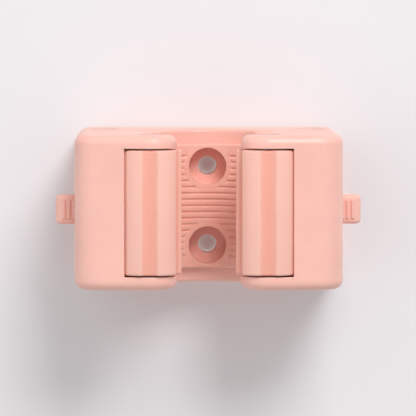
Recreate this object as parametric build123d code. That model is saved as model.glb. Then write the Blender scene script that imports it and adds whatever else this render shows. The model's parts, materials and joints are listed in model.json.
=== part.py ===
from build123d import *
from math import asin, atan2, cos, dist, pi, radians, sin, sqrt
import os

# Wall holder for a round bar: a housing with a flat back and two sprung jaws with rollers.
# Millimetres. The origin is the centre of the mounting face, the front looks to -Y, +Z is up.
# Left and right are as seen from the front. A depth is a distance in front of the mounting face.

# Round bar that is held
held_diameter = 22.0
held_gap = 0.1  # room round the bar at the liner and at the rollers
held_depth = 24.0

# Foam tape on the back
tape_width = 56.0
tape_height = 31.0
tape_thickness = 1.2
tape_corner = 4.0

# Back plate
plate_thickness = 2.4
plate_edge_round = 0.6  # behind

# Housing
housing_width = 63.6
housing_height = 37.0
housing_corner = 3.5
housing_wall = 2.8
housing_edge_round = 0.8
lip_round = 1.2  # corners of the cradle's lips
lug_radius = 6.8  # round each pivot
pivot_depth = 11.0
block_side_wall = 2.4  # beside the cradle and beside the rear recess
block_floor = 2.4  # between the cradle and the rear recess
recess_margin = 2.0  # from the rear recess up to the top wall
recess_corner = 1.5

# Cradle liner
liner_thickness = 2.0
liner_height = 30.0
liner_half_angle = 58.0

# Wall screws
wall_screw_spacing = 19.0
wall_screw_hole_radius = 2.25
wall_screw_head_radius = 4.5
wall_screw_floor = 4.4  # plastic under each screw head
wall_screw_boss_wall = 1.3

# Assembly screws that hold the plate to the housing
screw_spacing_x = 19.6
screw_spacing_z = 20.6
screw_radius = 1.3
screw_length = 8.6
screw_head_radius = 2.6
screw_head_height = 1.4
screw_slot_length = 3.2
screw_slot_width = 0.7
screw_slot_depth = 0.6
screw_fit_gap = 0.02
screw_boss_wall = 1.7
plate_hole_gap = 0.2
screw_tip_room = 0.6

# Pivot pins
pin_radius = 2.0
pin_head_radius = 3.2
pin_head_height = 1.0
pin_press_gap = 0.02  # in the housing
pin_run_gap = 0.05  # in the jaw
head_sink = 0.2  # pin heads and push nuts below the surface round them
head_gap = 0.3  # round pin heads and push nuts
head_edge_round = 0.3

# Push nuts
nut_thickness = 0.8
nut_slots = 6
nut_slot_width = 0.5
nut_slot_length = 0.7

# Jaws
knuckle_radius = 6.0
knuckle_gap = 0.3  # above and below, to the housing's walls
shoulder_out = 1.0  # shoulder's centre outside the pivot
shoulder_ahead = 24.0  # shoulder's centre in front of the pivot
shoulder_radius = 6.0
axle_boss_radius = 6.6
jaw_plate = 3.2
jaw_wall = 2.6
jaw_held_gap = 3.0
jaw_housing_gap = 0.5
stop_gap = 0.3  # closed jaw to the side of the cradle block
neck_ahead = 10.0  # solid neck in front of the pivot
jaw_edge_round = 2.2
jaw_corner_round = 2.6
pocket_gap = 0.3  # round the roller
pocket_wall = 2.0  # behind the roller
pocket_edge_round = 0.4
horn_ahead = 4.0  # end plates start this far in front of the pivot
hollow_mouth_radius = 5.5  # round, at the held bar, that the jaw's hollow opens to
spring_post_radius = 1.5

# Thumb tabs
tab_reach = 4.6
tab_thickness = 4.0
tab_height = 7.0
tab_behind = 9.6  # behind the shoulder's centre
tab_edge_round = 1.0
rib_count = 3
rib_pitch = 1.2
rib_radius = 0.4
rib_height = 4.4

# Torsion springs
spring_wire = 1.2
spring_pin_gap = 0.3
spring_turns = 7  # full turns, a quarter turn is added to these
turn_gap = 0.6
spring_end_room = 1.6
spring_room_gap = 2.7  # beside the coil
spring_hole_gap = 0.2
spring_leg_grip = 1.6  # fixed leg inside the cradle block
spring_leg_length = 9.5  # moving leg
spring_leg_gap = 0.1  # moving leg to its post
spring_post_back = 2.0  # post behind the moving leg's end

# Rollers
roller_gap = 13.0  # between the two rollers
roller_radius = 7.6
roller_end_gap = 0.25
core_radius = 4.6
core_proud = 0.15
axle_radius = 1.5
axle_head_radius = 2.8
axle_head_height = 0.9
axle_press_gap = 0.02
axle_run_gap = 0.05
flute_count = 5
flute_radius = 2.6
flute_depth = 1.2
flute_edge_round = 0.6
tyre_edge_round = 0.5

# Positions that follow from the sizes
held_radius = held_diameter / 2
seat_radius = held_radius + held_gap
cradle_radius = seat_radius + liner_thickness
half_height = housing_height / 2
wall_under = half_height - housing_wall
plate_front = tape_thickness + plate_thickness
lip_depth = pivot_depth + lug_radius
pivot_x = housing_width / 2 - lug_radius
block_half = cradle_radius + block_side_wall
recess_depth = held_depth - cradle_radius - block_floor
knuckle_top = wall_under - knuckle_gap
plate_under = half_height - jaw_plate
shoulder_x = pivot_x + shoulder_out
shoulder_depth = pivot_depth + shoulder_ahead
roller_x = roller_gap / 2 + roller_radius
roller_depth = held_depth + sqrt((seat_radius + roller_radius) ** 2 - roller_x**2)
roller_half = plate_under - roller_end_gap
coil_radius = pin_radius + spring_pin_gap + spring_wire / 2
coil_pitch = spring_wire + turn_gap
coil_height = (spring_turns + 0.25) * coil_pitch
spring_room = (coil_height + spring_wire) / 2 + spring_end_room


def disc(x, depth, radius):
    """Circle in plan at a depth."""
    return Pos(x, -depth) * Circle(radius)


def belt(*rounds):
    """Outline drawn tight round some discs, each given as x, depth and radius."""
    middle = sum(Vector(x, -depth) for x, depth, radius in rounds) * (1 / len(rounds))
    ring = sorted(rounds, key=lambda r: atan2(-r[1] - middle.Y, r[0] - middle.X))
    angles = []
    for (x, depth, radius), (next_x, next_depth, next_radius) in zip(ring, ring[1:] + ring[:1]):
        span = dist((x, depth), (next_x, next_depth))
        ahead = atan2(depth - next_depth, next_x - x)
        angles.append(ahead - pi / 2 + asin((radius - next_radius) / span))
    edges = []
    for i, (x, depth, radius) in enumerate(ring):
        arrive = angles[i - 1]
        leave = angles[i] + (2 * pi if angles[i] < arrive else 0)
        points = [
            Vector(x + radius * cos(a), -depth + radius * sin(a))
            for a in (arrive, (arrive + leave) / 2, leave)
        ]
        edges.append(ThreePointArc(*points))
        next_x, next_depth, next_radius = ring[(i + 1) % len(ring)]
        next_point = Vector(
            next_x + next_radius * cos(leave), -next_depth + next_radius * sin(leave)
        )
        edges.append(Line(points[-1], next_point))
    return make_face(edges)


def plan_box(x_low, x_high, depth_low, depth_high):
    """Rectangle in plan between two sides and two depths."""
    size = Rectangle(x_high - x_low, depth_high - depth_low)
    return Pos((x_low + x_high) / 2, -(depth_low + depth_high) / 2) * size


def upright(plan, z_low, z_high):
    """Plan outline raised between two heights."""
    return extrude(Pos(0, 0, z_low) * plan, amount=z_high - z_low)


def both_ends(plan, z_low, z_high):
    """Plan outline raised between two heights, above and again below the middle."""
    upper = upright(plan, z_low, z_high)
    return upper + mirror(upper, about=Plane.XY)


def post(x, depth, radius, z_low, z_high):
    """Upright round bar."""
    return upright(disc(x, depth, radius), z_low, z_high)


def bar_out(x, z, radius, depth_low, depth_high):
    """Round bar that points to the front, between two depths."""
    start = Plane(origin=(x, -depth_low, z), z_dir=(0, -1, 0))
    return extrude(start * Circle(radius), amount=depth_high - depth_low)


def front_slab(width, height, corner, depth_low, depth_high):
    """Slab with rounded corners as seen from the front, between two depths."""
    start = Plane(origin=(0, -depth_low, 0), x_dir=(1, 0, 0), z_dir=(0, -1, 0))
    outline = RectangleRounded(width, height, corner)
    return extrude(start * outline, amount=depth_high - depth_low)


def on_circle(point, x, depth, radius):
    """Whether a point lies on a given circle in plan."""
    reach = 1e-3
    return abs(dist((point.X, point.Y), (x, -depth)) - radius) < reach


def corners_on(sketch, x, depth, radius):
    """Corners of a sketch that lie on a given circle."""
    return [v for v in sketch.vertices() if on_circle(v, x, depth, radius)]


def edges_at(part, height):
    """Edges of a part that lie in one level plane."""
    reach = 1e-4
    flat = []
    for edge in part.edges():
        box = edge.bounding_box()
        if abs(box.min.Z - height) < reach and abs(box.max.Z - height) < reach:
            flat.append(edge)
    return flat


def other_side(part):
    """Same piece for the left-hand side."""
    return mirror(part, about=Plane.YZ)


screw_places = [
    (sx * screw_spacing_x / 2, sz * screw_spacing_z / 2) for sx in (-1, 1) for sz in (-1, 1)
]
wall_screw_places = [(0, sz * wall_screw_spacing / 2) for sz in (-1, 1)]


# Foam tape
foam_tape = front_slab(tape_width, tape_height, tape_corner, 0, tape_thickness)
for x, z in wall_screw_places:
    foam_tape -= bar_out(x, z, wall_screw_hole_radius, 0, tape_thickness)

# Back plate, with countersunk holes from behind
back_plate = front_slab(
    housing_width, housing_height, housing_corner, tape_thickness, plate_front
)
back_plate = fillet(back_plate.faces().sort_by(Axis.Y)[-1].edges(), plate_edge_round)
for x, z in wall_screw_places:
    back_plate -= bar_out(x, z, wall_screw_hole_radius, tape_thickness, plate_front)
for x, z in screw_places:
    sink_base = Plane(origin=(x, -tape_thickness, z), z_dir=(0, -1, 0))
    sink = Cone(
        screw_head_radius + plate_hole_gap,
        screw_radius + plate_hole_gap,
        screw_head_height,
        align=(Align.CENTER, Align.CENTER, Align.MIN),
    )
    back_plate -= sink_base * sink
    back_plate -= bar_out(x, z, screw_radius + plate_hole_gap, tape_thickness, plate_front)

# Assembly screws, one node for the four
one_screw = Cone(
    screw_head_radius,
    screw_radius,
    screw_head_height,
    align=(Align.CENTER, Align.CENTER, Align.MIN),
)
one_screw += Cylinder(
    screw_radius, screw_length, align=(Align.CENTER, Align.CENTER, Align.MIN)
)
for turn in (0, 90):
    slot = Box(
        screw_slot_length,
        screw_slot_width,
        screw_slot_depth,
        align=(Align.CENTER, Align.CENTER, Align.MIN),
    )
    one_screw -= Rot(0, 0, turn) * slot
assembly_screws = Compound(
    children=[
        Plane(origin=(x, -tape_thickness, z), z_dir=(0, -1, 0)) * one_screw
        for x, z in screw_places
    ]
)

# Housing: top and bottom walls with the pivot lugs, and the cradle block between them
housing_plan = belt((-pivot_x, pivot_depth, lug_radius), (pivot_x, pivot_depth, lug_radius))
housing_plan += plan_box(-housing_width / 2, housing_width / 2, plate_front, pivot_depth)
block_plan = plan_box(-block_half, block_half, plate_front, lip_depth)
housing = both_ends(housing_plan, wall_under, half_height)
housing += upright(block_plan, -wall_under, wall_under)
housing -= post(0, held_depth, cradle_radius, -half_height, half_height)
upright_edges = housing.edges().filter_by(Axis.Z)
lips = [e for e in upright_edges if on_circle(e.center(), 0, held_depth, cradle_radius)]
housing = fillet(lips, lip_round)
rims = edges_at(housing, half_height) + edges_at(housing, -half_height)
seen_rims = [edge for edge in rims if edge.center().Y < -plate_front - lip_round]
housing = fillet(seen_rims, housing_edge_round)
housing &= front_slab(housing_width, housing_height, housing_corner, plate_front, lip_depth)

# Rear recess in the cradle block, with bosses left standing for the screws
recess = front_slab(
    2 * (block_half - block_side_wall),
    2 * (wall_under - recess_margin),
    recess_corner,
    plate_front,
    recess_depth,
)
wall_boss_radius = wall_screw_head_radius + wall_screw_boss_wall
for x, z in wall_screw_places:
    recess -= bar_out(x, z, wall_boss_radius, plate_front, recess_depth)
for x, z in screw_places:
    recess -= bar_out(x, z, screw_radius + screw_boss_wall, plate_front, recess_depth)
housing -= recess

# Holes in the housing
for x, z in wall_screw_places:
    seat = plate_front + wall_screw_floor
    housing -= bar_out(x, z, wall_screw_hole_radius, plate_front, seat)
    housing -= bar_out(x, z, wall_screw_head_radius, seat, held_depth)
screw_end = tape_thickness + screw_length
for x, z in screw_places:
    housing -= bar_out(x, z, screw_radius + screw_fit_gap, plate_front, screw_end + screw_tip_room)
head_room = pin_head_height + head_sink
nut_room = nut_thickness + head_sink
spring_low = -coil_height / 2
leg_depth = pivot_depth - coil_radius
for side in (-1, 1):
    x = side * pivot_x
    housing -= post(x, pivot_depth, pin_radius + pin_press_gap, -half_height, half_height)
    sink_radius = pin_head_radius + head_gap
    housing -= post(x, pivot_depth, sink_radius, half_height - head_room, half_height)
    housing -= post(x, pivot_depth, sink_radius, -half_height, -half_height + nut_room)
    leg_start = Plane(origin=(side * block_half, -leg_depth, spring_low), z_dir=(-side, 0, 0))
    leg_hole = Circle(spring_wire / 2 + spring_hole_gap)
    housing -= extrude(leg_start * leg_hole, amount=spring_leg_grip + spring_hole_gap)

# Cradle liner, with holes for the heads of the wall screws
ring = disc(0, held_depth, cradle_radius) - disc(0, held_depth, seat_radius)
swing = radians(liner_half_angle)
far = 2 * cradle_radius
sector = make_face(
    Polyline(
        (0, -held_depth),
        (far * sin(swing), -held_depth + far * cos(swing)),
        (0, -held_depth + 2 * far),
        (-far * sin(swing), -held_depth + far * cos(swing)),
        close=True,
    )
)
cradle_liner = upright(ring & sector, -liner_height / 2, liner_height / 2)
for x, z in wall_screw_places:
    cradle_liner -= bar_out(x, z, wall_screw_head_radius, 0, held_depth)


def push_nut(bore, outside):
    """Thin ring with short slots round its bore."""
    ring_plan = Circle(outside) - Circle(bore)
    reach = bore + nut_slot_length
    slot = Pos(reach / 2, 0) * Rectangle(reach, nut_slot_width)
    for number in range(nut_slots):
        ring_plan -= Rot(0, 0, 360 / nut_slots * number) * slot
    return extrude(ring_plan, amount=nut_thickness)


def headed_pin(radius, head_radius, head_height):
    """Pin from top to bottom with a sunk head above, its lower end inside the push nut."""
    top = half_height - head_sink
    shaft = Pos(0, 0, -half_height + head_sink) * Cylinder(
        radius,
        top + half_height - head_sink,
        align=(Align.CENTER, Align.CENTER, Align.MIN),
    )
    head = Pos(0, 0, top - head_height) * Cylinder(
        head_radius, head_height, align=(Align.CENTER, Align.CENTER, Align.MIN)
    )
    head = fillet(edges_at(head, top), head_edge_round)
    return shaft + head


pivot_place = Pos(pivot_x, -pivot_depth)
nut_low = -half_height + head_sink
pivot_pin = pivot_place * headed_pin(pin_radius, pin_head_radius, pin_head_height)
pivot_push_nut = pivot_place * Pos(0, 0, nut_low) * push_nut(pin_radius, pin_head_radius)

# Roller axle, its push nut, the core and the ribbed tyre, on the right-hand side
axle_place = Pos(roller_x, -roller_depth)
axle = axle_place * headed_pin(axle_radius, axle_head_radius, axle_head_height)
axle_push_nut = axle_place * Pos(0, 0, nut_low) * push_nut(axle_radius, axle_head_radius)
core_plan = Circle(core_radius) - Circle(axle_radius + axle_run_gap)
roller_core = axle_place * upright(core_plan, -roller_half, roller_half)
tyre_half = roller_half - core_proud
flute_centre = roller_radius - flute_depth + flute_radius
flutes = PolarLocations(flute_centre, flute_count, start_angle=-90) * Circle(flute_radius)
tyre_plan = Circle(roller_radius) - flutes
tyre_plan = fillet(tyre_plan.vertices(), flute_edge_round)
roller_tyre = upright(tyre_plan, -tyre_half, tyre_half)
roller_tyre = fillet(
    edges_at(roller_tyre, tyre_half) + edges_at(roller_tyre, -tyre_half), tyre_edge_round
)
roller_tyre -= Cylinder(core_radius, 2 * tyre_half)
roller_tyre = axle_place * roller_tyre

# Jaw outline in plan, from the knuckle past the shoulder to the roller
inner_radius = held_radius + jaw_held_gap
jaw_outline = belt(
    (pivot_x, pivot_depth, knuckle_radius),
    (shoulder_x, shoulder_depth, shoulder_radius),
    (roller_x, roller_depth, axle_boss_radius),
)
jaw_outline -= disc(0, held_depth, inner_radius)
jaw_outline = fillet(
    corners_on(jaw_outline, 0, held_depth, inner_radius), jaw_corner_round
)

# Jaw: two end plates, the outer wall between them, and solid necks round the pin
end_plate = upright(jaw_outline, plate_under, half_height)
end_plate = fillet(edges_at(end_plate, half_height), jaw_edge_round)
hollow = belt(
    (pivot_x, pivot_depth, knuckle_radius - jaw_wall),
    (shoulder_x, shoulder_depth, shoulder_radius - jaw_wall),
    (0, held_depth, hollow_mouth_radius),
)
pocket_radius = roller_radius + pocket_gap
hollow -= disc(roller_x, roller_depth, pocket_radius + pocket_wall)
outer_wall = jaw_outline - hollow - disc(roller_x, roller_depth, pocket_radius)
outer_wall = fillet(
    corners_on(outer_wall, roller_x, roller_depth, pocket_radius), pocket_edge_round
)
jaw = upright(outer_wall, -plate_under, plate_under)
jaw += end_plate
jaw += mirror(end_plate, about=Plane.XY)
neck_plan = jaw_outline & plan_box(0, housing_width, 0, pivot_depth + neck_ahead)
jaw += both_ends(neck_plan, spring_room, knuckle_top)

# Post that the spring's moving leg pushes
leg_x = pivot_x + coil_radius
post_x = leg_x - spring_wire / 2 - spring_leg_gap - spring_post_radius
post_depth = pivot_depth + spring_leg_length - spring_post_back
jaw += post(post_x, post_depth, spring_post_radius, -spring_room, spring_room)

# Thumb tab with upright ribs on its front
shoulder_side = shoulder_x + shoulder_radius
tab_radius = tab_thickness / 2
tab_depth = shoulder_depth - tab_behind
tab_plan = belt(
    (shoulder_side - jaw_wall / 2 + tab_radius, tab_depth, tab_radius),
    (shoulder_side + tab_reach - tab_radius, tab_depth, tab_radius),
)
tab = upright(tab_plan, -tab_height / 2, tab_height / 2)
tab = fillet(edges_at(tab, tab_height / 2) + edges_at(tab, -tab_height / 2), tab_edge_round)
for number in range(rib_count):
    rib_x = shoulder_side + tab_reach - tab_radius - number * rib_pitch
    tab += post(rib_x, tab_depth + tab_radius, rib_radius, -rib_height / 2, rib_height / 2)
jaw += tab

# Room in the jaw for the housing, the cradle block, the coil and the pins
jaw -= both_ends(offset(housing_plan, jaw_housing_gap), knuckle_top, half_height)
horn = plan_box(pivot_x, housing_width, 0, pivot_depth + horn_ahead)
jaw -= both_ends(horn, knuckle_top, half_height)
jaw -= upright(offset(block_plan, stop_gap), -knuckle_top, knuckle_top)
room_radius = coil_radius + spring_wire / 2 + spring_room_gap
jaw -= post(pivot_x, pivot_depth, room_radius, -spring_room, spring_room)
jaw -= post(pivot_x, pivot_depth, pin_radius + pin_run_gap, -half_height, half_height)
jaw -= post(roller_x, roller_depth, axle_radius + axle_press_gap, -half_height, half_height)
axle_sink = axle_head_radius + head_gap
axle_head_room = axle_head_height + head_sink
jaw -= post(roller_x, roller_depth, axle_sink, half_height - axle_head_room, half_height)
jaw -= post(roller_x, roller_depth, axle_sink, -half_height, -half_height + nut_room)


# Torsion spring: a fixed leg into the cradle block, the coil, and a moving leg in the jaw
def coil_point(quarters):
    """Point on the coil's centre line, counted in quarter turns from its lower end."""
    angle = pi / 2 - quarters * pi / 2
    return Vector(
        pivot_x + coil_radius * cos(angle),
        -pivot_depth + coil_radius * sin(angle),
        spring_low + coil_pitch * quarters / 4,
    )


def coil_direction(quarters):
    """Direction of the coil's centre line, counted as above."""
    angle = pi / 2 - quarters * pi / 2
    rise = coil_pitch / (2 * pi)
    along = Vector(coil_radius * sin(angle), -coil_radius * cos(angle), rise)
    return along.normalized()


def biarc(start, start_direction, end, end_direction):
    """Two arcs that join two points along two directions."""
    span = end - start
    both = start_direction + end_direction
    bend = 2 * (1 - start_direction.dot(end_direction))
    ahead = span.dot(both)
    reach = (sqrt(ahead**2 + bend * span.dot(span)) - ahead) / bend
    first = start + start_direction * reach
    second = end - end_direction * reach
    middle = (first + second) * 0.5
    return [
        Edge.make_tangent_arc(start, start_direction, middle),
        Edge.make_tangent_arc(middle, second - first, end),
    ]


last_quarter = 4 * spring_turns + 1
stations = [0] + list(range(1, last_quarter + 1, 2))
directions = [coil_direction(q) for q in stations]
directions[0] = Vector(1, 0, 0)
directions[-1] = Vector(0, -1, 0)
leg_end = coil_point(0) + Vector(block_half - spring_leg_grip - pivot_x, 0, 0)
moving_end = coil_point(last_quarter) + Vector(0, -spring_leg_length, 0)
spring_edges = [Edge.make_line(leg_end, coil_point(0))]
for first, second, from_way, to_way in zip(
    stations[:-1], stations[1:], directions[:-1], directions[1:]
):
    spring_edges += biarc(coil_point(first), from_way, coil_point(second), to_way)
spring_edges.append(Edge.make_line(coil_point(last_quarter), moving_end))
spring_path = Wire(spring_edges)
spring_section = Plane(origin=leg_end, z_dir=(1, 0, 0)) * Circle(spring_wire / 2)
torsion_spring = sweep(spring_section, path=spring_path)


def least_self_gap(edges, wire):
    """Smallest room between two turns, measured on points of the centre line."""
    spacing = wire / 4
    points = []
    for edge in edges:
        steps = max(2, int(edge.length / spacing))
        points += [edge.position_at(i / steps) for i in range(steps)]
    apart = int(4 * wire / spacing)
    least = min(
        (points[j] - points[i]).length
        for i in range(len(points))
        for j in range(i + apart, len(points))
    )
    return least - wire


print("least gap of the spring to itself:", round(least_self_gap(spring_edges, spring_wire), 3))

# One file for each node
os.makedirs("parts", exist_ok=True)
single = {
    "foam_tape": foam_tape,
    "back_plate": back_plate,
    "assembly_screws": assembly_screws,
    "housing": housing,
    "cradle_liner": cradle_liner,
}
paired = {
    "pivot_pin": pivot_pin,
    "pivot_push_nut": pivot_push_nut,
    "torsion_spring": torsion_spring,
    "jaw": jaw,
    "axle": axle,
    "axle_push_nut": axle_push_nut,
    "roller_core": roller_core,
    "roller_tyre": roller_tyre,
}
for name, shape in single.items():
    export_step(shape, f"parts/{name}.step")
for name, shape in paired.items():
    export_step(shape, f"parts/right_{name}.step")
    export_step(other_side(shape), f"parts/left_{name}.step")
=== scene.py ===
import json
from math import acos, asin, atan2, cos, hypot, pi, radians, sin

import bmesh
import bpy
from mathutils import Matrix, Vector

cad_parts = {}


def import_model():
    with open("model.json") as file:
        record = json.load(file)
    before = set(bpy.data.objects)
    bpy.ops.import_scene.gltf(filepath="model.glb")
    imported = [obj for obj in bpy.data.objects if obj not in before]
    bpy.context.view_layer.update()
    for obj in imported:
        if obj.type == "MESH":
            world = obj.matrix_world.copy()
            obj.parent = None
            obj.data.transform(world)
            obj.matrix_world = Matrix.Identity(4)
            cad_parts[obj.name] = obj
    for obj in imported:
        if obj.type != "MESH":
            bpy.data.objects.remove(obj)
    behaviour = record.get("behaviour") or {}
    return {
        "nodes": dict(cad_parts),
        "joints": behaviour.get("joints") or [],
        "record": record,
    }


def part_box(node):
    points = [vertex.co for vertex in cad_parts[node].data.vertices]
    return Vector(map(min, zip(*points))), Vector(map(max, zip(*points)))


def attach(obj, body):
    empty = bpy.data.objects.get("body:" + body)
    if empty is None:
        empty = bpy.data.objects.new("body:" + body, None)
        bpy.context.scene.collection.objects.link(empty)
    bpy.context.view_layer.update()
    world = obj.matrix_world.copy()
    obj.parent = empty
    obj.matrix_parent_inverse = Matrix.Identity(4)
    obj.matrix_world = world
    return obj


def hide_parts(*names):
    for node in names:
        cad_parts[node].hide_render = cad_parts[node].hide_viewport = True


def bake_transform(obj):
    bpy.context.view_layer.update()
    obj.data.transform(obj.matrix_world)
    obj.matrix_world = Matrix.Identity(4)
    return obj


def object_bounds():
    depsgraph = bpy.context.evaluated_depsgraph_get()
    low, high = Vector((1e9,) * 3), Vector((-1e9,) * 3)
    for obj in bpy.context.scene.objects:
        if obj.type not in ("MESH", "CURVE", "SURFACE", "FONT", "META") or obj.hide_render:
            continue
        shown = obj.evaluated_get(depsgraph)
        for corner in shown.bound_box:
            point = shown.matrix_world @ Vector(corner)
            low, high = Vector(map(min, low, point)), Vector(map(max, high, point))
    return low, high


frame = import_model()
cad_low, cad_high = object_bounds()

# Wall holder with two sprung jaws and ribbed rollers, dressed round its solids.
# Metres, in the frame of the solids: the front looks to -Y and +Z is up.
# Left and right are as seen from the front.
mm = 0.001
sides = {"left": -1, "right": 1}

# Shared by several pieces
corner_steps = 6
end_steps = 5
smooth_angle = radians(40.0)  # faces that meet at less are shaded as one surface

# Roller tyres
tyre_radius = 7.6 * mm
tyre_edge_round = 0.5 * mm
flute_count = 5
flute_radius = 2.6 * mm
flute_depth = 1.2 * mm
flute_edge_round = 0.6 * mm
flute_steps = 8
crest_steps = 3

# Cradle liner
liner_half_angle = radians(58.0)
liner_edge_round = 0.5 * mm
liner_arc_steps = 140
groove_pitch = 1.5 * mm
groove_half_width = 0.38 * mm
groove_depth = 0.34 * mm
groove_rows = (-1, -0.5, 0, 0.5, 1)  # rows of points across a groove, in half widths
groove_margin = 1.6 * mm  # plain border round the grooves
groove_fade = 0.35 * mm
collar = 1.0 * mm  # plain ring round each screw head
screw_head_radius = 4.5 * mm
screw_head_sides = 72
cutter_reach = 0.1  # in front of the liner's axis and behind it
sliver = 0.005 * mm  # shorter edges are closed up after a cut

# Torsion springs
spring_wire = 1.2 * mm
spring_coil_radius = 2.9 * mm
spring_turns = 7.25
spring_ease = 0.25  # of a turn, where the coil levels out into a leg
steps_per_turn = 40
leg_steps = 8
wire_sides = 18
wire_end_round = 0.2 * mm

# Foam tape
tape_corner = 4.0 * mm
tape_corner_steps = 12
tape_edge_round = 0.12 * mm
tape_edge_steps = 3
tape_hole_sides = 48
tape_smooth_angle = radians(50.0)

# Finishes
noise_low = 0.3  # most of a noise lies between these two
noise_high = 0.7
edge_samples = 6
edge_alike = 0.8  # agreement of the plain and the softened normal on a full edge

# Camera, at the angle of the photograph
camera_azimuth = -0.75
camera_elevation = 3.5
camera_distance = 1.7
frame_width = 0.1
sensor_width = 36.0

# Light
lamp_distance = 1.4
key_azimuth = 20.0
key_elevation = 42.0
key_size = 0.6
key_watts = 12.0
fill_azimuth = -60.0
fill_elevation = 10.0
fill_size = 2.2
fill_watts = 6.0
rear_azimuth = 155.0
rear_elevation = 8.0
rear_size = 1.7
rear_watts = 12.0
world_level = 0.54
pale = (0.82, 0.806, 0.828, 1.0)

# Backdrop that comes down behind the holder and bends out along the floor
backdrop_gap = 0.3 * mm
backdrop_half_width = 6.0
backdrop_top = 6.0
backdrop_floor = -0.6
backdrop_bend = 0.4
backdrop_front = -6.0
backdrop_bend_steps = 24
backdrop_lit_reach = 0.1
backdrop_plain_reach = 0.3


def row_of(rows, key, name):
    """Row of a list that has a given name under a key."""
    for row in rows:
        if row[key] == name:
            return row
    raise KeyError(name)


def slot_colour(slot):
    """Base colour that the record gives to a material slot."""
    return Vector(row_of(frame["record"]["materials"], "slot", slot)["base_color"])


def joint_place(name):
    """Point on the axis of a joint."""
    return Vector(row_of(frame["joints"], "name", name)["pos_m"])


def mount_of(name):
    """Mount of the record by its name."""
    return row_of(frame["record"]["mounts"], "name", name)


def scaled(colour, red, green, blue):
    """Colour with a factor on each channel."""
    return Vector((colour.x * red, colour.y * green, colour.z * blue))


class Nodes:
    """Node tree with short calls for the nodes that repeat."""

    def __init__(self, tree):
        self.tree = tree

    def feed(self, socket, value):
        """Links an output to a socket, or sets the socket's own value."""
        if isinstance(value, bpy.types.NodeSocket):
            self.tree.links.new(value, socket)
        else:
            socket.default_value = value

    def node(self, kind, inputs, **settings):
        """New node with its settings and its inputs, by name or number."""
        made = self.tree.nodes.new(kind)
        for key, value in settings.items():
            setattr(made, key, value)
        for key, value in inputs.items():
            self.feed(made.inputs[key], value)
        return made

    def place(self):
        """Position on the piece."""
        return self.node("ShaderNodeTexCoord", {}).outputs["Object"]

    def noise(self, position, size, detail=2.0):
        """Cloudy noise with features of a size."""
        inputs = {"Vector": position, "Scale": 1 / size, "Detail": detail}
        return self.node("ShaderNodeTexNoise", inputs).outputs["Fac"]

    def cells(self, position, size):
        """Distance to the middle of scattered cells of a size."""
        inputs = {"Vector": position, "Scale": 1 / size}
        return self.node("ShaderNodeTexVoronoi", inputs).outputs["Distance"]

    def spread(self, value, low, high, least, most):
        """Value carried from low and high to least and most, and held at both ends."""
        inputs = {
            "Value": value,
            "From Min": low,
            "From Max": high,
            "To Min": least,
            "To Max": most,
        }
        return self.node("ShaderNodeMapRange", inputs).outputs["Result"]

    def rise(self, value, low, high, most=1.0):
        """Rise from 0 to the most, as a value goes from low to high."""
        return self.spread(value, low, high, 0.0, most)

    def ripple(self, noise, least, most):
        """Noise carried to a range."""
        return self.spread(noise, noise_low, noise_high, least, most)

    def maths(self, operation, first, second):
        """Sum, product or the like of two values."""
        made = self.node("ShaderNodeMath", {0: first, 1: second}, operation=operation)
        return made.outputs["Value"]

    def times(self, first, second):
        """Product of two values."""
        return self.maths("MULTIPLY", first, second)

    def remainder(self, share):
        """What a share leaves of 1."""
        return self.maths("SUBTRACT", 1.0, share)

    def vectors(self, operation, *inputs):
        """Sum, product or the like of vectors, or a measure of them."""
        made = self.node("ShaderNodeVectorMath", dict(enumerate(inputs)), operation=operation)
        measures = ("LENGTH", "DOT_PRODUCT")
        return made.outputs["Value" if operation in measures else "Vector"]

    def from_upright(self, position):
        """Distance of a position from the upright axis."""
        level = (1.0, 1.0, 0.0)
        return self.vectors("LENGTH", self.vectors("MULTIPLY", position, level))

    def tint(self, share, first, second):
        """Colour between two colours."""
        share_socket, first_socket, second_socket = 0, 6, 7
        colour_output = 2
        inputs = {share_socket: share}
        for socket, colour in ((first_socket, first), (second_socket, second)):
            inputs[socket] = (*colour, 1.0) if isinstance(colour, Vector) else colour
        made = self.node("ShaderNodeMix", inputs, data_type="RGBA")
        return made.outputs[colour_output]

    def edges(self, width):
        """Normal softened over the edges, and how far each point is on an edge."""
        bevel = self.node("ShaderNodeBevel", {"Radius": width}, samples=edge_samples)
        soft = bevel.outputs["Normal"]
        plain = self.node("ShaderNodeNewGeometry", {}).outputs["Normal"]
        alike = self.vectors("DOT_PRODUCT", soft, plain)
        return soft, self.rise(alike, 1.0, edge_alike)

    def bump(self, height, depth, normal=None):
        """Normal with relief of a depth."""
        inputs = {"Height": height, "Distance": depth, "Strength": 1.0}
        if normal is not None:
            inputs["Normal"] = normal
        return self.node("ShaderNodeBump", inputs).outputs["Normal"]

    def mixed(self, share, first, second):
        """Shader between two shaders."""
        made = self.node("ShaderNodeMixShader", {0: share, 1: first, 2: second})
        return made.outputs["Shader"]

    def seen(self):
        """1 for rays that show the surroundings, from the camera and in gloss or glass."""
        path = self.node("ShaderNodeLightPath", {})
        share = path.outputs["Is Camera Ray"]
        for kind in ("Is Glossy Ray", "Is Transmission Ray"):
            share = self.maths("MAXIMUM", share, path.outputs[kind])
        return share


class Finish(Nodes):
    """Node tree of one material."""

    def __init__(self, name):
        self.material = bpy.data.materials.new(name)
        self.material.use_nodes = True
        super().__init__(self.material.node_tree)
        self.shader = self.tree.nodes["Principled BSDF"]

    def surface(self, **inputs):
        """Sets inputs of the shader, with spaces written as underscores."""
        for key, value in inputs.items():
            self.feed(self.shader.inputs[key.replace("_", " ")], value)


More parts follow.
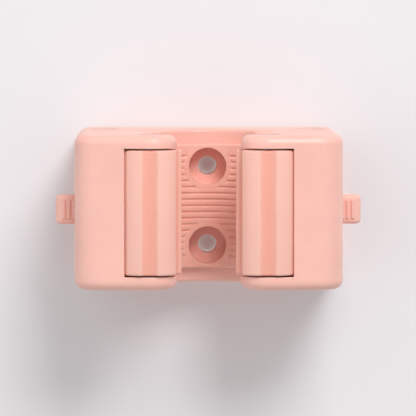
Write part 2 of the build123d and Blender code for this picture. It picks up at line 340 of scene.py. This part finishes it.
def coral_plastic():
    """Satin moulded plastic with a fine grain, paler along its edges."""
    finish = Finish("coral_plastic_moulded")
    colour = slot_colour("coral_plastic")
    dark, light = colour * 0.965, colour * 1.02
    warm = scaled(colour, 1.0, 0.95, 0.92)
    pale_edge = colour.lerp(Vector((1.0, 0.86, 0.8)), 0.45)
    place = finish.place()
    clouds = finish.noise(place, size=14 * mm, detail=3.0)
    mottle = finish.noise(place, size=1.6 * mm)
    grain = finish.noise(place, size=0.42 * mm, detail=3.0)
    soft, edge = finish.edges(width=0.35 * mm)
    body = finish.tint(finish.rise(clouds, low=0.35, high=0.65), dark, light)
    body = finish.tint(finish.rise(mottle, low=0.5, high=0.75, most=0.5), body, warm)
    wear = finish.spread(mottle, low=0.35, high=0.6, least=0.25, most=0.8)
    rough = finish.ripple(clouds, least=0.33, most=0.42)
    rough = finish.maths("ADD", rough, finish.ripple(grain, least=-0.06, most=0.06))
    finish.surface(
        Base_Color=finish.tint(finish.times(edge, wear), body, pale_edge),
        Roughness=rough,
        Normal=finish.bump(grain, depth=0.04 * mm, normal=soft),
        IOR=1.48,
        Subsurface_Weight=0.08,
        Subsurface_Radius=(1.0, 0.35, 0.25),
        Subsurface_Scale=0.6 * mm,
    )
    return finish.material


def coral_rubber(name, crest=None):
    """Matte soft rubber.

    With the two radii of a crest, it is rubbed paler and smoother from the first to the second,
    and darkened towards the first with painted shade in the flutes.
    """
    finish = Finish(name)
    colour = slot_colour("coral_rubber")
    bloom = colour.lerp(Vector((0.98, 0.72, 0.64)), 0.35)
    flute_shade = scaled(colour, 0.95, 0.86, 0.82)
    edge_bloom = 0.5
    crest_bloom = 0.7
    crest_polish = 0.12
    place = finish.place()
    clouds = finish.noise(place, size=5 * mm, detail=3.0)
    speckle = finish.noise(place, size=0.5 * mm, detail=4.0)
    soft, edge = finish.edges(width=0.3 * mm)
    body = finish.tint(finish.rise(clouds, low=0.42, high=0.72, most=0.6), colour, bloom)
    body = finish.tint(finish.times(edge, edge_bloom), body, bloom)
    rough = finish.ripple(speckle, least=0.58, most=0.72)
    if crest is not None:
        rubbed = finish.rise(finish.from_upright(place), *crest)
        body = finish.tint(finish.times(rubbed, crest_bloom), body, bloom)
        # Painted shade: darker towards the bottom of the flutes.
        body = finish.tint(finish.remainder(rubbed), body, flute_shade)
        rough = finish.maths("SUBTRACT", rough, finish.times(rubbed, crest_polish))
    finish.surface(
        Base_Color=body,
        Roughness=rough,
        Normal=finish.bump(speckle, depth=0.03 * mm, normal=soft),
        IOR=1.5,
        Sheen_Weight=0.12,
        Sheen_Roughness=0.5,
        Subsurface_Weight=0.06,
        Subsurface_Radius=(1.0, 0.3, 0.2),
        Subsurface_Scale=0.5 * mm,
    )
    return finish.material


def core_plastic():
    """Natural white plastic, a little uneven in its colour and gloss."""
    finish = Finish("core_plastic_natural")
    colour = slot_colour("core_plastic")
    dark, light = colour * 0.95, colour * 1.03
    pale_edge = Vector((0.9, 0.9, 0.88))
    edge_share = 0.4
    place = finish.place()
    clouds = finish.noise(place, size=3 * mm)
    grain = finish.noise(place, size=0.3 * mm)
    soft, edge = finish.edges(width=0.2 * mm)
    body = finish.tint(clouds, dark, light)
    finish.surface(
        Base_Color=finish.tint(finish.times(edge, edge_share), body, pale_edge),
        Roughness=finish.ripple(clouds, least=0.32, most=0.46),
        Normal=finish.bump(grain, depth=0.008 * mm, normal=soft),
        Subsurface_Weight=0.1,
        Subsurface_Radius=(1.0, 0.9, 0.8),
        Subsurface_Scale=0.6 * mm,
    )
    return finish.material


def white_foam():
    """Closed-cell foam with a dusty face."""
    finish = Finish("foam_closed_cell")
    colour = slot_colour("foam")
    dark = colour * 0.86
    dusty = Vector((0.8, 0.78, 0.73))
    place = finish.place()
    cells = finish.cells(place, size=0.45 * mm)
    clouds = finish.noise(place, size=8 * mm, detail=3.0)
    body = finish.tint(finish.rise(cells, low=0.0, high=0.6), dark, colour)
    body = finish.tint(finish.rise(clouds, low=0.5, high=0.75, most=0.5), body, dusty)
    finish.surface(
        Base_Color=body,
        Roughness=finish.ripple(clouds, least=0.6, most=0.85),
        Normal=finish.bump(cells, depth=0.08 * mm),
        Sheen_Weight=0.1,
    )
    return finish.material


def turned_steel(name, axis):
    """Steel turned on a lathe, with rings about an upright axis and about its mirror image."""
    finish = Finish(name)
    colour = slot_colour("pin_steel")
    dark, light = colour * 0.9, colour * 1.08
    tarnish = Vector((0.52, 0.49, 0.46))
    bright = Vector((0.85, 0.85, 0.86))
    edge_share = 0.6
    ring_size = 0.4 * mm
    place = finish.place()
    either_side = finish.vectors("ABSOLUTE", place)
    from_axis = finish.vectors("SUBTRACT", either_side, (abs(axis.x), abs(axis.y), 0.0))
    height = finish.node("ShaderNodeSeparateXYZ", {0: place}).outputs["Z"]
    along = finish.maths("ADD", finish.from_upright(from_axis), height)
    inputs = {"W": along, "Scale": 1 / ring_size, "Detail": 4.0}
    rings = finish.node("ShaderNodeTexNoise", inputs, noise_dimensions="1D").outputs["Fac"]
    clouds = finish.noise(place, size=2.4 * mm)
    soft, edge = finish.edges(width=0.12 * mm)
    body = finish.tint(finish.ripple(rings, least=0.0, most=1.0), dark, light)
    body = finish.tint(finish.rise(clouds, low=0.5, high=0.8, most=0.25), body, tarnish)
    # The edges are tinted bright as a painted highlight along the chamfers.
    finish.surface(
        Base_Color=finish.tint(finish.times(edge, edge_share), body, bright),
        Metallic=1.0,
        Roughness=finish.ripple(rings, least=0.3, most=0.42),
        Normal=finish.bump(rings, depth=0.01 * mm, normal=soft),
    )
    return finish.material


def stamped_steel():
    """Spring steel sheet, oiled dark, bright along its stamped edges."""
    finish = Finish("spring_steel_stamped")
    colour = slot_colour("spring_steel")
    dark, light = colour * 0.72, colour * 1.05
    bright = Vector((0.8, 0.8, 0.8))
    edge_share = 0.7
    clouds = finish.noise(finish.place(), size=0.9 * mm, detail=4.0)
    soft, edge = finish.edges(width=0.1 * mm)
    body = finish.tint(finish.rise(clouds, low=0.35, high=0.7), dark, light)
    finish.surface(
        Base_Color=finish.tint(finish.times(edge, edge_share), body, bright),
        Metallic=1.0,
        Roughness=finish.ripple(clouds, least=0.28, most=0.46),
        Normal=finish.bump(clouds, depth=0.01 * mm, normal=soft),
    )
    return finish.material


def drawn_wire():
    """Spring wire with streaks along its length, mapped by how far round and how far along."""
    finish = Finish("spring_steel_drawn_wire")
    colour = slot_colour("spring_steel")
    dark, light = colour * 0.8, colour * 1.2
    oiled = Vector((0.36, 0.33, 0.3))
    streaks_round = 26.0
    streaks_to_metre = 160.0
    along = finish.node("ShaderNodeTexCoord", {}).outputs["UV"]
    stretched = finish.vectors("MULTIPLY", along, (streaks_round, streaks_to_metre, 1.0))
    streaks = finish.noise(stretched, size=1.0, detail=4.0)
    clouds = finish.noise(finish.place(), size=1.2 * mm, detail=3.0)
    body = finish.tint(finish.ripple(streaks, least=0.0, most=1.0), dark, light)
    body = finish.tint(finish.rise(clouds, low=0.55, high=0.8, most=0.4), body, oiled)
    finish.surface(
        Base_Color=body,
        Metallic=1.0,
        Roughness=finish.ripple(streaks, least=0.22, most=0.38),
        Normal=finish.bump(streaks, depth=0.01 * mm),
    )
    return finish.material


def plated_screw():
    """Zinc plated steel, a little yellow and blue in places."""
    finish = Finish("screw_steel_plated")
    colour = slot_colour("screw_steel")
    yellow = scaled(colour, 1.1, 1.04, 0.82)
    blue = scaled(colour, 0.88, 0.96, 1.1)
    bright = Vector((0.85, 0.85, 0.84))
    edge_share = 0.5
    place = finish.place()
    clouds = finish.noise(place, size=1.2 * mm, detail=3.0)
    grain = finish.noise(place, size=0.2 * mm)
    soft, edge = finish.edges(width=0.1 * mm)
    body = finish.tint(finish.rise(clouds, low=0.35, high=0.65), yellow, blue)
    finish.surface(
        Base_Color=finish.tint(finish.times(edge, edge_share), body, bright),
        Metallic=1.0,
        Roughness=finish.ripple(clouds, least=0.28, most=0.42),
        Normal=finish.bump(grain, depth=0.006 * mm, normal=soft),
    )
    return finish.material


def show(name, data):
    """New object in the scene."""
    thing = bpy.data.objects.new(name, data)
    bpy.context.scene.collection.objects.link(thing)
    return thing


def soften(mesh, angle):
    """Shades a mesh smooth where its faces meet at less than an angle."""
    mesh.shade_smooth()
    mesh.set_sharp_from_angle(angle=angle)


def new_piece(name, points, faces, material):
    """Mesh object with one material."""
    mesh = bpy.data.meshes.new(name)
    mesh.from_pydata(points, [], faces)
    mesh.materials.append(material)
    soften(mesh, smooth_angle)
    return show(name, mesh)


def faces_between(rings, size, wrap):
    """Quads between rings of as many points each, and from the last ring to the first to wrap."""
    faces = []
    last = rings if wrap else rings - 1
    for ring in range(last):
        here = ring * size
        there = (ring + 1) % rings * size
        for i in range(size):
            j = (i + 1) % size
            faces.append((here + i, here + j, there + j, there + i))
    return faces


def capped_faces(rings, size):
    """Quads between rings of as many points each, with a face over both ends."""
    faces = faces_between(rings, size, False)
    faces.append(tuple(reversed(range(size))))
    faces.append(tuple(range((rings - 1) * size, rings * size)))
    return faces


def arc(centre, radius, start, end, steps):
    """Points on an arc in plan, with both ends."""
    points = []
    for step in range(steps + 1):
        angle = start + (end - start) * step / steps
        points.append(centre + radius * Vector((cos(angle), sin(angle))))
    return points


def circle(centre, radius, count):
    """Points all round a circle in plan."""
    return arc(centre, radius, 0, 2 * pi, count)[:-1]


def rounded_ends(half_length, edge_round):
    """Heights and insets of the rows that round both ends of an upright form."""
    rows = []
    for step in range(end_steps + 1):
        swing = pi / 2 * step / end_steps
        rows.append((half_length - edge_round * (1 - sin(swing)), edge_round * (1 - cos(swing))))
    return [(-height, inset) for height, inset in reversed(rows)], rows


def fluted_outline(inset):
    """Outline of a tyre in plan about its axis, moved into the rubber by an inset."""
    corner_reach = tyre_radius - flute_edge_round
    flute_reach = tyre_radius - flute_depth + flute_radius
    between = flute_radius + flute_edge_round
    # The edge's round touches the tyre's circle from inside and the flute from outside
    turn = acos(
        (corner_reach**2 + flute_reach**2 - between**2) / (2 * corner_reach * flute_reach)
    )
    flute = Vector((flute_reach, 0))
    corner = corner_reach * Vector((cos(turn), sin(turn)))
    lean = atan2(corner.y - flute.y, corner.x - flute.x)
    half = arc(flute, flute_radius + inset, pi, lean, flute_steps)
    half += arc(corner, flute_edge_round - inset, lean - pi, turn, corner_steps)[1:]
    half += arc(Vector((0, 0)), tyre_radius - inset, turn, pi / flute_count, crest_steps)[1:]
    period = [Vector((p.x, -p.y)) for p in reversed(half[1:])] + half[:-1]
    outline = []
    for number in range(flute_count):
        spin = Matrix.Rotation(2 * pi * number / flute_count - pi / 2, 2)
        outline += [spin @ p for p in period]
    return outline


def roller_tyre(side, material):
    """Ribbed rubber tyre on a roller's core."""
    node = f"{side}_roller_tyre"
    low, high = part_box(node)
    core_low, core_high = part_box(f"{side}_roller_core")
    bore = (core_high.x - core_low.x) / 2
    half_length = (high.z - low.z) / 2
    lower, upper = rounded_ends(half_length, tyre_edge_round)
    points = []
    for height, inset in lower + upper:
        points += [(p.x, p.y, height) for p in fluted_outline(inset)]
    rim = [bore * p.normalized() for p in fluted_outline(tyre_edge_round)]
    for height in (half_length, -half_length):
        points += [(p.x, p.y, height) for p in rim]
    rings = len(points) // len(rim)
    piece = new_piece(f"{side}_tyre", points, faces_between(rings, len(rim), True), material)
    piece.location = joint_place(f"{side}_roller_spin")
    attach(piece, f"{side}_roller_body")
    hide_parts(node)


def close_slivers(mesh):
    """Closes the edges and faces of a mesh that are too thin to see."""
    shape = bmesh.new()
    shape.from_mesh(mesh)
    bmesh.ops.remove_doubles(shape, verts=shape.verts, dist=sliver)
    bmesh.ops.dissolve_degenerate(shape, edges=shape.edges, dist=sliver)
    shape.to_mesh(mesh)
    shape.free()


def cut_round_holes(piece, places, radius):
    """Cuts round holes through a piece from front to back, at places seen from the front."""
    points = []
    faces = []
    for x, z in places:
        first = len(points)
        ring = circle(Vector((x, z)), radius, screw_head_sides)
        for y in (cutter_reach, -cutter_reach):
            points += [(p.x, y, p.y) for p in ring]
        for face in capped_faces(2, screw_head_sides):
            faces.append(tuple(first + corner for corner in face))
    cutter = new_piece(f"{piece.name}_cutter", points, faces, piece.data.materials[0])
    cutter.location = piece.location
    cut = piece.modifiers.new("holes", "BOOLEAN")
    cut.operation = "DIFFERENCE"
    cut.solver = "EXACT"
    cut.object = cutter
    bpy.context.view_layer.update()
    seen = piece.evaluated_get(bpy.context.evaluated_depsgraph_get())
    mesh = bpy.data.meshes.new_from_object(seen)
    piece.modifiers.clear()
    bpy.data.objects.remove(cutter)
    close_slivers(mesh)
    soften(mesh, smooth_angle)
    piece.data = mesh


def liner_outline(seat, back, inset):
    """Outline of the liner in plan about the seat's axis, moved into the rubber by an inset.

    The first points, as many as the count that comes with them, lie on the seat.
    """
    inner_reach = seat + liner_edge_round
    outer_reach = back - liner_edge_round
    inner_turn = liner_half_angle - asin(liner_edge_round / inner_reach)
    outer_turn = liner_half_angle - asin(liner_edge_round / outer_reach)
    behind = pi / 2
    right, left = behind - liner_half_angle, behind + liner_half_angle
    inner_right, inner_left = behind - inner_turn, behind + inner_turn
    outer_right, outer_left = behind - outer_turn, behind + outer_turn
    middle = Vector((0, 0))

    def corner(reach, angle, start, end):
        """Rounded corner whose centre is at a reach and an angle from the axis."""
        centre = reach * Vector((cos(angle), sin(angle)))
        return arc(centre, liner_edge_round - inset, start, end, corner_steps)

    outline = arc(middle, seat + inset, inner_right, inner_left, liner_arc_steps)
    count = len(outline)
    outline += corner(inner_reach, inner_left, inner_left + pi, left + pi / 2)[1:]
    outline += corner(outer_reach, outer_left, left + pi / 2, outer_left)
    outline += arc(middle, back - inset, outer_left, outer_right, liner_arc_steps)[1:]
    outline += corner(outer_reach, outer_right, outer_right, right - pi / 2)[1:]
    outline += corner(inner_reach, inner_right, right - pi / 2, inner_right - pi)[:-1]
    return outline, count


def smooth_step(value, low, high):
    """Smooth rise from 0 to 1 between two values."""
    share = min(1.0, max(0.0, (value - low) / (high - low)))
    return share * share * (3 - 2 * share)


def liner_rows(half_height, groove_count):
    """Heights and insets of the liner's rows of points, from its lower end to its upper."""
    lower, upper = rounded_ends(half_height, liner_edge_round)
    rows = list(lower)
    for number in range(groove_count):
        middle = (number - (groove_count - 1) / 2) * groove_pitch
        rows += [(middle + groove_half_width * share, 0.0) for share in groove_rows]
    return rows + upper


def full_depth(height, half_height, groove_count):
    """Depth of the grooves at a height, where nothing fades them out."""
    if abs(height) > half_height - liner_edge_round:
        return 0.0
    from_groove = abs((height / groove_pitch + groove_count / 2) % 1 - 0.5) * groove_pitch
    return groove_depth * (1 - smooth_step(from_groove, 0.0, groove_half_width))


def cradle_liner(material):
    """Rubber liner with fine grooves across it and a plain collar round each screw head."""
    low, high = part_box("cradle_liner")
    seat_mount = mount_of("handle_seat")
    seat = seat_mount["dims"]["r_mm"] * mm
    axis = Vector(seat_mount["pos_m"])
    back = high.y - axis.y
    half_height = (high.z - low.z) / 2
    screw_height = mount_of("wall_screws")["dims"]["spacing_y_mm"] * mm / 2
    groove_count = int(2 * (half_height - groove_margin) / groove_pitch)
    collar_reach = screw_head_radius + collar
    plain_reach = seat * (liner_half_angle - groove_margin / seat)
    rows = liner_rows(half_height, groove_count)
    points = []
    for height, inset in rows:
        outline, count = liner_outline(seat, back, inset)
        depth = full_depth(height, half_height, groove_count)
        for number, p in enumerate(outline):
            if number < count and depth > 0:
                # A groove fades out at the collars and near the liner's sides
                from_screw = hypot(p.x, abs(height) - screw_height)
                round_arc = seat * abs(atan2(p.x, p.y))
                kept = smooth_step(from_screw, collar_reach, collar_reach + groove_fade)
                kept *= 1 - smooth_step(round_arc, plain_reach - groove_fade, plain_reach)
                p = p * (1 + depth * kept / seat)
            points.append((p.x, p.y, height))
    faces = capped_faces(len(rows), len(points) // len(rows))
    piece = new_piece("liner", points, faces, material)
    piece.location = axis
    cut_round_holes(piece, [(0.0, screw_height), (0.0, -screw_height)], screw_head_radius)
    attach(piece, "base")
    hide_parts("cradle_liner")


def eased(share, ease):
    """Rise from 0 to 1 at a steady rate that starts and ends level."""
    rate = 1 / (1 - ease)
    if share < ease:
        return rate * share * share / (2 * ease)
    if share > 1 - ease:
        return 1 - rate * (1 - share) ** 2 / (2 * ease)
    return rate * (share - ease / 2)


def spring_line(side):
    """Centre line of a spring: the fixed leg, the coil and the moving leg."""
    low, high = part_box("right_torsion_spring")
    pivot = joint_place("right_jaw_swing")
    z_low = low.z + spring_wire / 2
    z_high = high.z - spring_wire / 2
    line = []
    for step in range(leg_steps):
        x = low.x + (pivot.x - low.x) * step / leg_steps
        line.append(Vector((x, pivot.y + spring_coil_radius, z_low)))
    coil_steps = int(spring_turns * steps_per_turn)
    for step in range(coil_steps + 1):
        share = step / coil_steps
        angle = pi / 2 - 2 * pi * spring_turns * share
        height = z_low + (z_high - z_low) * eased(share, spring_ease / spring_turns)
        round_axis = Vector((cos(angle), sin(angle), 0)) * spring_coil_radius
        line.append(Vector((pivot.x, pivot.y, height)) + round_axis)
    for step in range(1, leg_steps + 1):
        y = pivot.y + (low.y - pivot.y) * step / leg_steps
        line.append(Vector((pivot.x + spring_coil_radius, y, z_high)))
    return [Vector((p.x * sides[side], p.y, p.z)) for p in line]


def wire_stations(line, radius):
    """Centre, direction and radius of each ring of a wire along a line, with blunted ends."""
    ways = []
    for i in range(len(line)):
        ahead = line[min(i + 1, len(line) - 1)] - line[max(i - 1, 0)]
        ways.append(ahead.normalized())
    stations = [(line[0], ways[0], radius - wire_end_round)]
    stations.append((line[0] + ways[0] * wire_end_round, ways[0], radius))
    stations += [(p, way, radius) for p, way in zip(line[1:-1], ways[1:-1])]
    stations.append((line[-1] - ways[-1] * wire_end_round, ways[-1], radius))
    stations.append((line[-1], ways[-1], radius - wire_end_round))
    return stations


def map_wire(mesh, lengths):
    """Maps a wire by how far round it a point is, as a share, and how far along, in metres."""
    layer = mesh.uv_layers.new(name="length")
    for face in mesh.polygons:
        turns = [vertex % wire_sides for vertex in face.vertices]
        seam = max(turns) - min(turns) > wire_sides / 2
        for loop, vertex, turn in zip(face.loop_indices, face.vertices, turns):
            round_share = (turn + wire_sides if seam and turn == 0 else turn) / wire_sides
            layer.data[loop].uv = (round_share, lengths[vertex // wire_sides])


def round_wire(name, line, radius, material):
    """Round wire along a line, mapped by its length."""
    stations = wire_stations(line, radius)
    before, first_way = stations[0][:2]
    across = first_way.orthogonal().normalized()
    travelled = 0.0
    points = []
    lengths = []
    for centre, way, reach in stations:
        across = (across - way * across.dot(way)).normalized()
        other = way.cross(across)
        travelled += (centre - before).length
        before = centre
        lengths.append(travelled)
        for number in range(wire_sides):
            angle = 2 * pi * number / wire_sides
            points.append(centre + reach * (across * cos(angle) + other * sin(angle)))
    piece = new_piece(name, points, capped_faces(len(stations), wire_sides), material)
    map_wire(piece.data, lengths)
    return piece


def torsion_spring(side, material):
    """Torsion spring between the housing and its jaw."""
    node = f"{side}_torsion_spring"
    piece = round_wire(f"{side}_spring", spring_line(side), spring_wire / 2, material)
    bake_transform(piece)
    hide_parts(node)


def tape_mesh(loops, thickness):
    """Mesh of a slab with soft edges inside an outline and round its holes."""
    curve = bpy.data.curves.new("tape_outline", "CURVE")
    curve.dimensions = "2D"
    curve.fill_mode = "BOTH"
    curve.extrude = thickness / 2 - tape_edge_round
    curve.bevel_depth = tape_edge_round
    curve.bevel_resolution = tape_edge_steps
    curve.offset = -tape_edge_round
    for loop in loops:
        spline = curve.splines.new("POLY")
        spline.points.add(len(loop) - 1)
        for point, p in zip(spline.points, loop):
            point.co = (p.x, p.y, 0.0, 1.0)
        spline.use_cyclic_u = True
    drawn = bpy.data.objects.new("tape_outline", curve)
    mesh = bpy.data.meshes.new_from_object(drawn)
    bpy.data.objects.remove(drawn)
    return mesh


def foam_tape(material):
    """Foam tape with soft edges, punched for the screws."""
    low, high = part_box("foam_tape")
    half_width = (high.x - low.x) / 2
    half_height = (high.z - low.z) / 2
    screws = mount_of("wall_screws")["dims"]
    screw_height = screws["spacing_y_mm"] * mm / 2
    outline = []
    for number, (sx, sz) in enumerate(((1, 1), (-1, 1), (-1, -1), (1, -1))):
        centre = Vector((sx * (half_width - tape_corner), sz * (half_height - tape_corner)))
        start = number * pi / 2
        outline += arc(centre, tape_corner, start, start + pi / 2, tape_corner_steps)
    loops = [outline]
    for sz in (1, -1):
        centre = Vector((0, sz * screw_height))
        loops.append(circle(centre, screws["hole_r_mm"] * mm, tape_hole_sides))
    mesh = tape_mesh(loops, high.y - low.y)
    mesh.transform(Matrix.Rotation(pi / 2, 4, "X"))
    mesh.transform(Matrix.Translation((0, (low.y + high.y) / 2, 0)))
    mesh.materials.append(material)
    soften(mesh, tape_smooth_angle)
    piece = show("tape", mesh)
    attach(piece, "base")
    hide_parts("foam_tape")


def dress_node(node, material):
    """Gives a solid its finish."""
    materials = frame["nodes"][node].data.materials
    materials.clear()
    materials.append(material)


def direction(azimuth, elevation):
    """Unit direction from the holder, in degrees as seen from the front."""
    turn, rise = radians(azimuth), radians(elevation)
    return Vector((sin(turn) * cos(rise), -cos(turn) * cos(rise), sin(rise)))


def aim(thing, target):
    """Turns a lamp or camera to a point."""
    thing.rotation_euler = (target - thing.location).to_track_quat("-Z", "Y").to_euler()


def soft_lamp(name, azimuth, elevation, size, watts, target):
    """Square soft lamp that shines on the holder."""
    lamp = bpy.data.lights.new(name, "AREA")
    lamp.size = size
    lamp.energy = watts
    thing = show(name, lamp)
    thing.location = target + lamp_distance * direction(azimuth, elevation)
    thing.visible_camera = False
    aim(thing, target)


def backdrop_finish():
    """Pale finish, seen from its front alone.

    Near the holder it takes the light and the shadow. Further off it shows its own pale colour.
    """
    finish = Finish("backdrop_pale")
    finish.surface(Base_Color=pale, Roughness=0.9, Specular_IOR_Level=0.1)
    spot = finish.node("ShaderNodeNewGeometry", {})
    away = finish.vectors("LENGTH", spot.outputs["Position"])
    far = finish.rise(away, backdrop_lit_reach, backdrop_plain_reach)
    glow = finish.node("ShaderNodeEmission", {"Color": pale, "Strength": 1.0})
    lit = finish.mixed(far, finish.shader.outputs["BSDF"], glow.outputs["Emission"])
    shown = finish.times(finish.seen(), finish.remainder(spot.outputs["Backfacing"]))
    clear = finish.node("ShaderNodeBsdfTransparent", {}).outputs["BSDF"]
    out = finish.tree.nodes["Material Output"]
    finish.feed(out.inputs["Surface"], finish.mixed(shown, clear, lit))
    return finish.material


def backdrop():
    """Pale sheet that comes down behind the holder and bends out into a floor."""
    bend_centre = Vector((backdrop_gap - backdrop_bend, backdrop_floor + backdrop_bend))
    line = [Vector((backdrop_front, backdrop_floor))]
    line += arc(bend_centre, backdrop_bend, -pi / 2, 0, backdrop_bend_steps)
    line.append(Vector((backdrop_gap, backdrop_top)))
    points = []
    for p in line:
        points.append((-backdrop_half_width, p.x, p.y))
        points.append((backdrop_half_width, p.x, p.y))
    faces = [(2 * i, 2 * i + 1, 2 * i + 3, 2 * i + 2) for i in range(len(line) - 1)]
    new_piece("backdrop", points, faces, backdrop_finish())


def world():
    """Even pale light from all round, and the same pale where the backdrop ends."""
    made = bpy.data.worlds.new("studio")
    made.use_nodes = True
    nodes = Nodes(made.node_tree)
    light = made.node_tree.nodes["Background"]
    light.inputs["Color"].default_value = (1.0, 1.0, 1.0, 1.0)
    light.inputs["Strength"].default_value = world_level
    shown = nodes.node("ShaderNodeBackground", {"Color": pale, "Strength": 1.0})
    both = nodes.mixed(nodes.seen(), light.outputs["Background"], shown.outputs["Background"])
    nodes.feed(made.node_tree.nodes["World Output"].inputs["Surface"], both)
    bpy.context.scene.world = made


def camera(target):
    """Camera on a long lens at the photograph's angle."""
    lens = bpy.data.cameras.new("camera")
    lens.sensor_width = sensor_width
    lens.lens = sensor_width * camera_distance / frame_width
    thing = show("camera", lens)
    thing.location = target + camera_distance * direction(camera_azimuth, camera_elevation)
    aim(thing, target)
    bpy.context.scene.camera = thing


# Pieces that stand for solids
tyre_rubber = coral_rubber("coral_rubber_tyre", (tyre_radius - flute_depth, tyre_radius))
liner_rubber = coral_rubber("coral_rubber_liner")
wire = drawn_wire()
for side in sides:
    roller_tyre(side, tyre_rubber)
    torsion_spring(side, wire)
cradle_liner(liner_rubber)
foam_tape(white_foam())

# Solids that stay as they are, with their finish
plastic = coral_plastic()
core = core_plastic()
pivot_steel = turned_steel("pin_steel_pivot", joint_place("right_jaw_swing"))
axle_steel = turned_steel("pin_steel_axle", joint_place("right_roller_spin"))
nut_steel = stamped_steel()
dress_node("back_plate", plastic)
dress_node("housing", plastic)
dress_node("assembly_screws", plated_screw())
for side in sides:
    dress_node(f"{side}_jaw", plastic)
    dress_node(f"{side}_roller_core", core)
    dress_node(f"{side}_pivot_pin", pivot_steel)
    dress_node(f"{side}_axle", axle_steel)
    dress_node(f"{side}_pivot_push_nut", nut_steel)
    dress_node(f"{side}_axle_push_nut", nut_steel)

# Stage, light and camera
middle = (cad_low + cad_high) / 2
backdrop()
world()
soft_lamp("key", key_azimuth, key_elevation, key_size, key_watts, middle)
soft_lamp("fill", fill_azimuth, fill_elevation, fill_size, fill_watts, middle)
soft_lamp("rear", rear_azimuth, rear_elevation, rear_size, rear_watts, middle)
camera(middle)
bpy.context.scene.view_settings.view_transform = "Standard"
